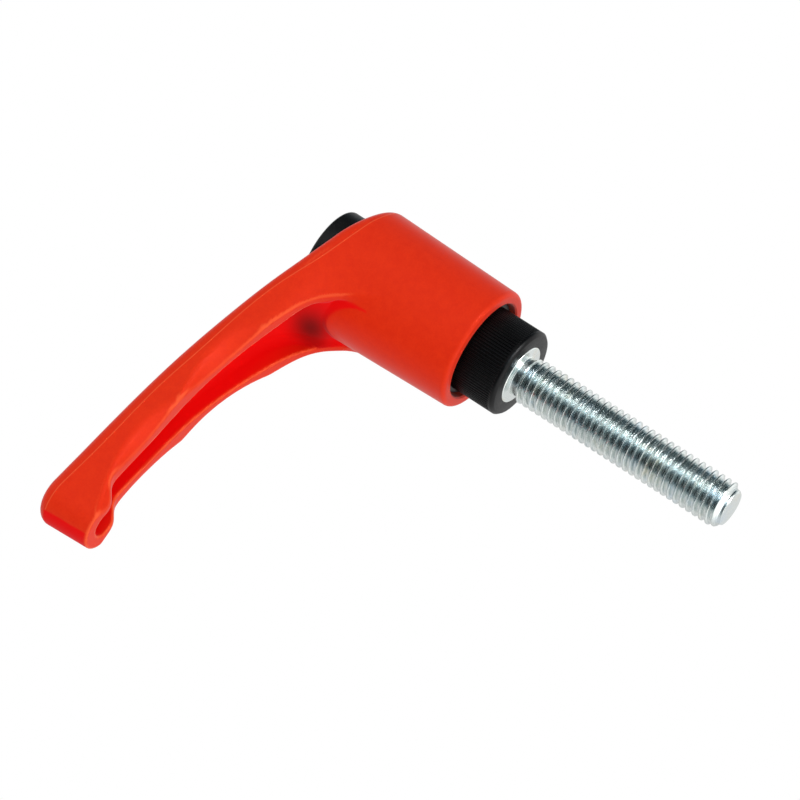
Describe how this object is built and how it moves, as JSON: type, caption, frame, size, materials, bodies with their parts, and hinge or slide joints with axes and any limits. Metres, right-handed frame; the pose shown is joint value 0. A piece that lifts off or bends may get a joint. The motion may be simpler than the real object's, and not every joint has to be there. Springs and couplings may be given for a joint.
{
  "type": "adjustable clamping lever",
  "caption": "Adjustable clamping lever: red plastic lever with a scooped, hollow-backed arm, black toothed insert with ribbed collar, steel threaded stud and black push button.",
  "frame": {"origin": "on the stud's axis, in the plane of the seat face that clamps", "axes": "-Z along the stud, +Z towards the push button, +X along the lever's arm, which is symmetric about Y"},
  "size_m": [0.0963, 0.028, 0.105],
  "materials": {
    "zinc_steel": "satin",
    "black_plastic": "matte",
    "red_plastic": "satin",
    "spring_steel": "satin",
    "button_plastic": "satin"
  },
  "bodies": {
    "core": {"threaded_stud": "zinc_steel", "toothed_insert": "black_plastic", "seat_washer": "zinc_steel", "retaining_screw": "zinc_steel", "push_button": "button_plastic"},
    "coil": {"return_spring": "spring_steel"},
    "handle": {"lever": "red_plastic"}
  },
  "joints": [
    {"name": "lever_turn", "type": "hinge", "parent": "core", "child": "coil", "pos_m": [0, 0, 0], "axis": [0, 0, 1], "continuous": true},
    {"name": "lever_lift", "type": "slide", "parent": "coil", "child": "handle", "axis": [0, 0, 1], "range_m": [0, 0.0048], "stiffness_N_per_m": 2500, "springref_m": -0.004, "deforming": ["return_spring"]}
  ]
}
